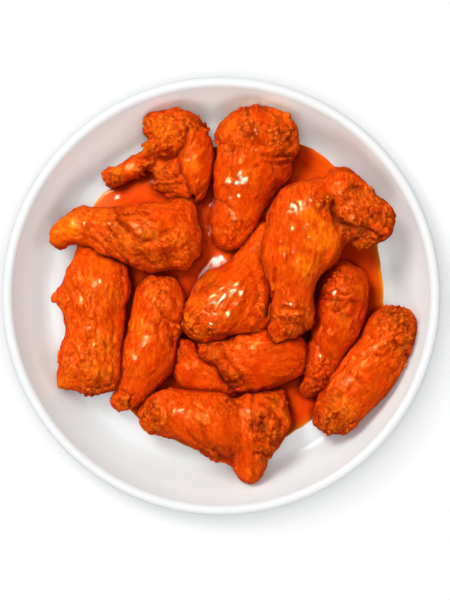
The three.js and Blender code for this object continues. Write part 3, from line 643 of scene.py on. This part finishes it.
def wing_material():
    n = Nodes("sauced_skin")
    crust, brown, gold = n.attribute("crust"), n.attribute("brown"), n.attribute("gold")
    sleek, pit, low = n.attribute("sleek"), n.attribute("pit"), n.attribute("low")
    drawn = n.attribute("drawn", "Vector")
    drift = n.noise(85, 2.0)
    mottle = n.noise(340, 4.0, 0.6, 0.4)
    streak = n.noise(420, 3.0, 0.6, 0.3, drawn)
    fibre = n.noise(1000, 3.0, 0.65, 0.3, drawn)
    speck = n.noise(800, 3.0, 0.6)
    crumbs = n.add("ShaderNodeTexVoronoi", {"Vector": n.position(), "Scale": 480})
    crumbs = crumbs.outputs["Distance"]  # from the middle of the nearest crumb, in crumbs
    uneven = n.remap(n.noise(150, 1.0), 0.4, 0.6, 0.3, 1.0)
    rough_skin = n.remap(sleek, 0, 1, 1, 0.35)
    fine_skin = n.times(n.remap(crust, 0.1, 0.5, 0.7, 0.9), n.times(uneven, rough_skin))

    # Sauce on skin: streaks, blushes, flecks and nicks along the grain.
    orange = n.mix(n.remap(drift, 0.35, 0.65), (0.74, 0.042, 0.0006), (0.80, 0.064, 0.0010))
    orange = n.mix(n.remap(streak, 0.50, 0.68, 0, 0.7), orange, (0.88, 0.120, 0.003))
    blush = n.times(n.remap(streak, 0.33, 0.47, 0.7, 0.0), rough_skin)
    orange = n.mix(blush, orange, (0.56, 0.018, 0.0004))
    fleck = n.times(n.remap(fibre, 0.54, 0.61), fine_skin)
    orange = n.mix(fleck, orange, (0.92, 0.230, 0.012))
    nick = n.times(n.remap(fibre, 0.46, 0.37, 0.0, 0.5), fine_skin)
    orange = n.mix(nick, orange, (0.50, 0.014, 0.0003))
    golden = n.mix(n.remap(streak, 0.4, 0.6), (0.98, 0.125, 0.0014), (1.0, 0.215, 0.004))
    colour = n.mix(n.times(gold, n.remap(streak, 0.3, 0.6, 0.4, 0.95)), orange, golden)

    # Batter: toasted places; light crumbs, their golden colour partly painted light on the knobs'
    #     # tops; and dark chinks, painted shade between the crumbs.
    toast = n.mix(n.remap(mottle, 0.4, 0.64), (0.25, 0.020, 0.0012), (0.56, 0.070, 0.003))
    colour = n.mix(n.times(brown, n.remap(mottle, 0.62, 0.42, 0.2, 0.85)), colour, toast)
    crumb = n.math("MAXIMUM", n.times(n.attribute("nub"), n.remap(crumbs, 0.5, 0.2)),
                   n.times(crust, n.remap(speck, 0.52, 0.62, 0.0, 0.6)))
    colour = n.mix(crumb, colour, (0.90, 0.180, 0.007))
    painted_chink_shade = n.times(n.remap(crust, 0.2, 0.8), n.remap(crumbs, 0.45, 0.75, 0.0, 0.6))
    colour = n.mix(n.times(painted_chink_shade, uneven), colour, (0.34, 0.014, 0.0005))

    # Painted shade: darker, redder colour where shade falls on a wing ("deep"), low in the dish,
    #     # on steep sides, in pits and creases, and between wings.
    colour = n.mix(n.attribute("deep"), colour, (0.54, 0.018, 0.0003))
    colour = n.mix(low, colour, (0.44, 0.020, 0.0004))
    painted_hollow_shade = n.mix(brown, (0.34, 0.010, 0.0003), (0.14, 0.009, 0.0006))
    colour = n.mix(n.times(pit, 0.8), colour, painted_hollow_shade)
    patchy = n.remap(n.noise(170, 1.0), 0.35, 0.65, 0.3, 0.85)
    colour = n.mix(n.times(n.attribute("painted_gap_shade"), patchy), colour, (0.12, 0.005, 0.0003))

    dull = n.math("SUBTRACT", n.math("ADD", n.times(crust, 0.5), brown), sleek)
    grain = n.times(n.noise(950, 3.0, 0.6), n.remap(crust, 0.1, 0.9, 0.08, 0.6))
    normal = n.bump(grain, 0.0010, 0.7, n.bump(n.noise(260, 1.0), 0.0010, 0.25))

    # The film of sauce has waves of its own, lower where it is sleek or shines.
    film = n.add("ShaderNodeVectorMath", {0: n.attribute("film", "Vector")}, operation="NORMALIZE")
    waves = n.math("SUBTRACT", n.noise(440, 0.0, at=drawn), 0.5)
    waves = n.times(waves, n.remap(sleek, 0, 1, 1, 0.7))
    waves = n.times(waves, n.remap(n.attribute("shine"), 0, 1, 1, 0.5))
    edge_on = n.add("ShaderNodeLayerWeight").outputs["Facing"]
    return n.finish({
        "Base Color": colour,
        "Roughness": n.remap(dull, 0.0, 1.3, 0.3, 0.5),
        "Normal": normal,
        "IOR": 1.3,
        "Specular IOR Level": 0.052,
        "Specular Tint": (1.0, 0.42, 0.10),
        "Coat Weight": n.times(n.remap(edge_on, 0.45, 0.85, 1.0, 0.05), n.attribute("wet")),
        "Coat Normal": n.bump(waves, 0.0005, 1.0, film.outputs[0]),
        "Coat IOR": 1.42,
        "Coat Roughness": 0.02,
        "Subsurface Weight": 0.05,
        "Subsurface Radius": (1.0, 0.25, 0.05),
        "Subsurface Scale": 0.0012,
    })


def sauce_material():
    n = Nodes("hot_sauce")
    inset, banked, free = n.attribute("inset"), n.attribute("banked"), n.attribute("free")
    drift = n.noise(60, 2.0)
    deep = n.mix(n.remap(drift, 0.35, 0.65), (0.74, 0.040, 0.0004), (0.84, 0.085, 0.0008))
    edge = n.math("ADD", inset, n.remap(n.noise(110, 2.0), 0.3, 0.7, -0.9, 0.9))
    colour = n.mix(n.remap(edge, 2.0, 5.5), (0.86, 0.110, 0.0012), deep)
    colour = n.mix(n.remap(edge, 0.5, 2.2), (0.88, 0.230, 0.005), colour)
    colour = n.mix(n.remap(inset, 0.0, 0.9), (0.88, 0.40, 0.08), colour)
    colour = n.mix(n.remap(banked, 0.4, 1.6, 0.0, 0.5), colour, (0.85, 0.110, 0.002))
    # Painted shade: the sauce's colour is darkened where wings stand beside or hang over it.
    return n.finish({
        "Base Color": n.mix(n.remap(free, 1.0, 0.0, 0.0, 0.85), colour, (0.20, 0.006, 0.0003)),
        "Roughness": 0.2,
        "Normal": n.bump(n.noise(140, 1.0), 0.0006, 0.15),
        "Specular IOR Level": 0.0,
        "Coat Weight": n.times(free, n.remap(inset, 0.0, 8.0)),
        "Coat IOR": 1.42,
        "Coat Roughness": 0.1,
        "Subsurface Weight": 0.1,
        "Subsurface Radius": (1.0, 0.2, 0.05),
        "Subsurface Scale": 0.002,
    })


def glaze_material():
    n = Nodes("glazed_white")
    cloud = n.remap(n.noise(22, 2.0), 0.3, 0.7)
    # Painted light: bluish against the food's warm bounce, lighter up the wall, darker on the
    # rim's crest.
    floor = n.mix(cloud, (0.74, 0.77, 0.772), (0.76, 0.79, 0.792))
    painted_lighter_wall = n.mix(cloud, (0.835, 0.873, 0.876), (0.855, 0.893, 0.896))
    rim = (0.70, 0.69, 0.69)
    height = n.add("ShaderNodeSeparateXYZ", {0: n.position()}).outputs["Z"]
    white = n.mix(n.remap(height, 0.008, 0.022), floor, painted_lighter_wall)
    return n.finish({
        "Base Color": n.mix(n.remap(height, 0.034, 0.0375), white, rim),
        "Roughness": n.remap(n.noise(300, 2.0), 0.3, 0.7, 0.29, 0.35),
        "Normal": n.bump(n.noise(35, 1.0), 0.0008, 0.12),
        "Coat Weight": 0.25,
        "Coat Roughness": 0.18,
    })


# ---- The pieces ----

def build_fields():
    """Each wing's field with its relief, clear of the dish and of the wings on top of it."""
    fields = {}
    for seed, node in enumerate(HEAP):
        field = Field(node)
        lattice = Lattice(100 + seed)
        index, points = field.near(RELIEF_REACH)
        free = step_up(above_dish(points), 0.3, 2.5)
        height, _ = surface(points, WINGS[node], lattice)
        field.values[index] -= np.clip(height, -RELIEF_LIMIT, RELIEF_LIMIT) * free
        field.stay_in_dish()
        fields[node] = field
    for i, node in enumerate(HEAP):
        for above in HEAP[i + 1:]:
            fields[node].cut_by(fields[above])
    return fields


def make_wing(node, seed, fields, material):
    field = fields[node]
    points, quads = field.mesh()
    piece = new_piece(node + "_skin", points, quads.tolist(), material)
    wing, lattice = WINGS[node], Lattice(100 + seed)
    _, look = surface(points.astype(np.float32), wing, lattice)
    for kind, amount in look.items():
        paint(piece, kind, amount)

    # Painted shade, for the material's colour: darker low in the dish, on steep sides, beside
    # other
    #     # wings, in the wing's "shade" patches and by its "deep" amount.
    low = 1 - step_up(points[:, 2], FLOOR_TOP + 2, FLOOR_TOP + 13)
    steep_side_shade = 1 - step_up(field.levelness(points), 0.0, 0.75)
    paint(piece, "low", np.maximum(0.8 * low, 0.5 * steep_side_shade))
    room = np.min([f.distance(points) for name, f in fields.items() if name != node], axis=0)
    paint(piece, "painted_gap_shade", 1 - step_up(room, 0.3, 3.6))
    shade = patches(points, wing.get("shade", []), np.zeros(len(points)))
    paint(piece, "deep", np.maximum(shade, wing.get("deep", 0.0)))

    # The film's gloss follows the filled-in relief, and turns to the window where it shines.
    film = field.film_normals(points)
    shine = patches(points, wing.get("shine", []), 0.55 * lattice.smooth(points, 2.0))
    shine *= step_up(film[:, 2], 0.1, 0.4)
    halfway = Vector(WINDOW).normalized() + Vector((0, 0, 1))
    film += shine[:, None] * (np.array(halfway.normalized()) - film)
    paint(piece, "wet", np.maximum(shine, wing.get("wet", 1.0) * (1 - 0.6 * look["crust"])))
    paint(piece, "film", film)
    paint(piece, "shine", shine)
    paint(piece, "drawn", along_grain(points, wing) * MM)
    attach(piece, "root")
    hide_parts(node)
    piece.visible_glossy = False  # or the sauce mirrors its glints
    return piece


# The pool's edge, as in the CAD.
SAUCE_EDGE = [
    (-63, 72), (-74, 65), (-81, 56), (-88, 42), (-91, 26), (-89, 10), (-86, -10),
    (-82, -32), (-72, -52), (-61, -67), (-51, -78), (-34, -89), (-6, -99), (22, -99),
    (45, -86), (59, -77), (77, -62), (94, -38), (102, -10), (101, 14), (97, 40),
    (85, 68), (69, 87), (53, 96), (24, 98), (-4, 94), (-30, 92), (-48, 84),
]
SAUCE_DEPTH = 1.9
POOL_BOTTOM = FLOOR_TOP + 0.1  # clear of the glaze
POOL_SKIN = FLOOR_TOP + 0.12  # where the sauce has no depth
FAR = 9.0  # further from any wing than sauce climbs
STANDING = 2.6  # a wing this high over the dish's floor stands in the sauce
OVERHEAD = (7.0, 12.0)  # and at these heights overhangs it
# Where sauce is banked up against a wing: the line that it rises from, its slope and reach.
BANKS = [
    ((-20, 14), (-4, 32), 0.4, 12),
    ((-10.5, 36), (-6.5, 62), 0.5, 4.5),
    ((46, -79), (57, -69), 0.4, 4),
]
# Ridges in the sauce: width, height and points.
RIDGES = [
    (1.5, 0.7, [(51, 86), (59, 80.5), (70, 77.5)]), (1.4, 0.6, [(96.5, 26), (97, 8), (96.5, -6)]),
    (1.3, 0.8, [(-5.5, 56), (-4.8, 49)]), (1.3, 0.8, [(-8.6, 42), (-7.2, 36), (-9, 30)]),
    (1.6, 0.5, [(-64, 61.5), (-55, 58.5), (-46, 56.5)]), (1.4, 0.5, [(57, 92), (66, 85)]),
]


def closed_curve(corners, per_side):
    """A smooth closed curve through corners (Catmull-Rom)."""
    p = np.array(corners, float)
    before, after, later = np.roll(p, 1, 0), np.roll(p, -1, 0), np.roll(p, -2, 0)
    square, cube = 2 * before - 5 * p + 4 * after - later, 3 * p - before - 3 * after + later
    curve = [
        0.5 * (2 * p + (after - before) * t + square * t * t + cube * t ** 3)
        for t in np.arange(per_side) / per_side
    ]
    return np.stack(curve, 1).reshape(-1, 2)


def shore(turns):
    """The pool's edge, as equal turns about its middle."""
    curve = closed_curve(SAUCE_EDGE, 12)
    angle = np.arctan2(curve[:, 1], curve[:, 0])
    order = np.argsort(angle)
    turn = np.arange(turns) * 2 * math.pi / turns - math.pi
    reach = np.interp(
        turn, angle[order], np.hypot(curve[:, 0], curve[:, 1])[order], period=2 * math.pi
    )
    edge = np.stack([np.cos(turn) * reach, np.sin(turn) * reach, np.zeros(turns)], 1)
    lattice = Lattice(7)
    reach = reach + 0.9 * lattice.smooth(edge, 13) + 0.35 * lattice.smooth(edge, 4.5)
    return np.cos(turn) * reach, np.sin(turn) * reach


def clearance(fields, x, y, height):
    """How far points are from the nearest wing, in a plane over the dish's floor."""
    nearest = np.full(x.shape, FAR)
    for field in fields.values():
        plane, low = field.level(FLOOR_TOP + height)
        i, j = x / VOXEL - low[0], y / VOXEL - low[1]
        inside = (i > 0) & (j > 0) & (i < plane.shape[0] - 2) & (j < plane.shape[1] - 2)
        i, j = np.where(inside, i, 0), np.where(inside, j, 0)
        a, b = i.astype(int), j.astype(int)
        u, v = i - a, j - b
        value = (
            plane[a, b] * (1 - u) * (1 - v) + plane[a + 1, b] * u * (1 - v)
            + plane[a, b + 1] * (1 - u) * v + plane[a + 1, b + 1] * u * v
        )
        nearest = np.where(inside, np.minimum(nearest, value), nearest)
    return nearest


def banks(x, y, flat):
    """How high the sauce is banked up."""
    height = np.zeros(x.shape)
    for (ax, ay), (bx, by), slope, width in BANKS:
        length = math.hypot(bx - ax, by - ay)
        along = ((x - ax) * (bx - ax) + (y - ay) * (by - ay)) / length
        out = ((x - ax) * (by - ay) - (y - ay) * (bx - ax)) / length
        within = step_up(along, -4, 2) * step_up(along, length + 4, length - 2)
        out = out + 1.3 * Lattice(9).smooth(flat, 7).reshape(x.shape)
        bank = 0.5 * slope * np.clip(out, 0, width) ** 2 / width
        bank *= 1 - step_up(out, width, width * 1.6)
        height = np.maximum(height, bank * within)
    return height


def ringed(rings, count):
    """Faces of a closed form of rings of points, each joined to the next, with flat ends."""
    ring = np.arange(count)
    after = (ring + 1) % count
    faces = [ring[::-1].tolist()]
    for a in range(0, (rings - 1) * count, count):
        b = a + count
        faces += np.stack([a + ring, a + after, b + after, b + ring], 1).tolist()
    faces.append((b + ring).tolist())
    return faces


def make_sauce(fields, material):
    """The pool: its flat underside's ring of points, then rings from its edge inwards."""
    turns = 620
    step = 0.85
    edge_x, edge_y = shore(turns)
    reach = np.hypot(edge_x, edge_y)
    inwards = [0, 0.25, 0.6, 1, 1.5, 2.1, 2.8, 3.6, *np.arange(4.4, reach.min() - 0.5, step)]
    inset = np.array(inwards)[:, None]
    x = edge_x * (1 - inset / reach)
    y = edge_y * (1 - inset / reach)
    flat = np.stack([x.ravel(), y.ravel(), np.zeros(x.size)], 1).astype(np.float32)

    dry = clearance(fields, x, y, STANDING)
    overhung = [clearance(fields, x, y, height) for height in OVERHEAD]
    # How clear the sauce is of wings beside and over it; where it is not, its colour is painted
    # dark, as shade.
    free = step_up(np.minimum(dry, np.min(overhung, axis=0)), -0.5, 4.5)
    meniscus = 1.6 * np.exp(-np.clip(dry, 0, FAR) / 1.6)
    climb = np.maximum(meniscus, banks(x, y, flat))
    depth = SAUCE_DEPTH * (1 - np.exp(-inset / 13)) + climb * step_up(inset, -0.5, 3)
    for width, rise, line in RIDGES:
        depth += rise * np.exp(-((distance_to_line(flat, line) / width) ** 2)).reshape(x.shape)
    swell = 0.16 * Lattice(8).smooth(flat, 24).reshape(x.shape)
    depth = np.maximum(depth + swell * step_up(inset, 0, 5), 0.03)

    rings, count = x.shape
    bottom = np.stack([edge_x, edge_y, np.full(count, POOL_BOTTOM)], 1)
    top = np.stack([x.ravel(), y.ravel(), (POOL_SKIN + depth).ravel()], 1)
    points = np.concatenate([bottom, top])
    piece = new_piece("sauce_pool_wet", points, ringed(rings + 1, count), material)
    for name, values, below in (("inset", inset, 0), ("banked", climb, 0), ("free", free, 1)):
        values = np.broadcast_to(values, x.shape).ravel()
        paint(piece, name, np.concatenate([np.full(count, below), values]))
    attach(piece, "root")
    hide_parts("sauce_pool")
    return piece


def sweep_up(start, end, steps):
    """A curve that is level at its start and steepens evenly up to its end."""
    return [
        (start[0] + (end[0] - start[0]) * t, start[1] + (end[1] - start[1]) * t * t)
        for t in np.linspace(0, 1, steps + 1)
    ]


def make_plate(material):
    """The plate, turned from its profile: foot, outside, rim, inside and floor."""
    lip = LIP / 2
    centre = (RIM_RADIUS - lip, RIM_HEIGHT - lip)
    foot = [(0.01, 2.5), (72.5, 2.5), (73.2, 2.2), (73.9, 0.5), (74.6, 0.05), (75.4, 0)]
    foot += [(80.6, 0), (81.4, 0.05), (82.1, 0.5), (83, 1.7), (84, 2)]
    rim = [
        (centre[0] + lip * math.cos(a), centre[1] + lip * math.sin(a))
        for a in np.linspace(-LEAN, math.pi - LEAN, 17)
    ]
    outside = sweep_up((FLOOR_RADIUS + 2, 3), rim[0], 22)[:-1]
    inside = sweep_up((FLOOR_RADIUS, FLOOR_TOP), rim[-1], 26)[-2::-1]
    floor = [(r, FLOOR_TOP) for r in (90, 60, 30, 0.01)]
    profile = foot + outside + rim + inside + floor
    turns = 192
    angle = np.arange(turns) * 2 * math.pi / turns
    points = [(r * math.cos(a), r * math.sin(a), z) for r, z in profile for a in angle]
    piece = new_piece("plate_glazed", points, ringed(len(profile), turns), material)
    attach(piece, "root")
    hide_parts("plate")
    piece.visible_glossy = False  # or it greys the sauce
    return piece


# ---- Floor, light and camera ----

def make_floor():
    far = 3000
    points = [(-far, -far, 0), (far, -far, 0), (far, far, 0), (-far, far, 0)]
    look = {"Base Color": (0.82, 0.82, 0.82), "Roughness": 0.7, "Specular IOR Level": 0.2}
    pale = Nodes("pale_floor").finish(look)
    floor = new_piece("floor", points, [(0, 1, 2, 3)], pale, smooth=False)
    floor.visible_glossy = False
    return floor


def add_light(name, direction, distance, size, power, lit, colour, diffuse, glossy):
    """A round softbox that lights the pieces given, by diffuse light, by gloss or by both."""
    light = bpy.data.lights.new(name, "AREA")
    light.shape = "DISK"
    light.size = size
    light.energy = power
    light.color = colour
    holder = bpy.data.objects.new(name, light)
    towards = Vector(direction).normalized()
    holder.location = towards * distance
    holder.rotation_mode = "QUATERNION"
    holder.rotation_quaternion = towards.to_track_quat("Z", "Y")
    holder.visible_diffuse = diffuse
    holder.visible_glossy = glossy
    scene.collection.objects.link(holder)
    group = bpy.data.collections.new(name + "_lit")
    for piece in lit:
        group.objects.link(piece)
    holder.light_linking.receiver_collection = group


def light_scene(wings, pool, plate, floor):
    """The window for the food, its gloss and the floor, and a ring of lights for the plate."""
    white, warm, mild = (1, 1, 1), (1, 0.85, 0.52), (1, 0.93, 0.84)
    cool = (0.965, 1, 1)  # against the food's warm bounce
    for settings in (
        ("food_key", WINDOW, 3.5, 1.3, 122, [*wings, pool], white, True, False),
        ("wing_gloss", WINDOW, 3.5, 0.8, 2500, wings, warm, False, True),
        ("pool_gloss", WINDOW, 3.5, 1.1, 270, [pool], mild, False, True),
        ("plate_key", (-0.42, 0.52, 0.74), 3.5, 1.5, 66, [plate], cool, True, True),
        ("plate_fill", (0, 0, 1), 3.0, 1.6, 33, [plate], cool, True, False),
        ("plate_left", (-0.8, 0, 0.6), 3.5, 1.6, 9, [plate], cool, True, False),
        ("plate_right", (0.8, 0, 0.6), 3.5, 1.6, 15, [plate], cool, True, False),
        ("plate_front", (0, -0.8, 0.6), 3.5, 1.6, 39, [plate], cool, True, False),
        ("plate_back", (0, 0.8, 0.6), 3.5, 1.6, 13, [plate], cool, True, False),
        ("floor_fill", (0, 0, 1), 3.0, 2.4, 71, [floor], white, True, False),
        ("floor_key", WINDOW, 3.5, 1.3, 29, [floor], white, True, False),
    ):
        add_light(*settings)
    world = bpy.data.worlds.new("studio")
    world.use_nodes = True
    background = world.node_tree.nodes["Background"]
    background.inputs["Color"].default_value = (1, 1, 1, 1)
    background.inputs["Strength"].default_value = 0.36
    world.cycles_visibility.glossy = False
    scene.world = world
    scene.view_settings.view_transform = "Standard"


def place_camera():
    above_rim = 1150.0
    frame_height = 368.2  # how much of the rim's plane the picture's height takes in
    x, y = 2.45, -2.45  # the middle of the picture, off the plate's centre
    camera = bpy.data.cameras.new("camera")
    camera.sensor_width = 36
    camera.lens = 36 * above_rim / frame_height
    holder = bpy.data.objects.new("camera", camera)
    holder.location = (x * MM, y * MM, (RIM_HEIGHT + above_rim) * MM)
    scene.collection.objects.link(holder)
    scene.camera = holder


place_camera()
floor = make_floor()
plate = make_plate(glaze_material())
wing_look = wing_material()
fields = build_fields()
wings = [make_wing(node, seed, fields, wing_look) for seed, node in enumerate(HEAP)]
pool = make_sauce(fields, sauce_material())
light_scene(wings, pool, plate, floor)
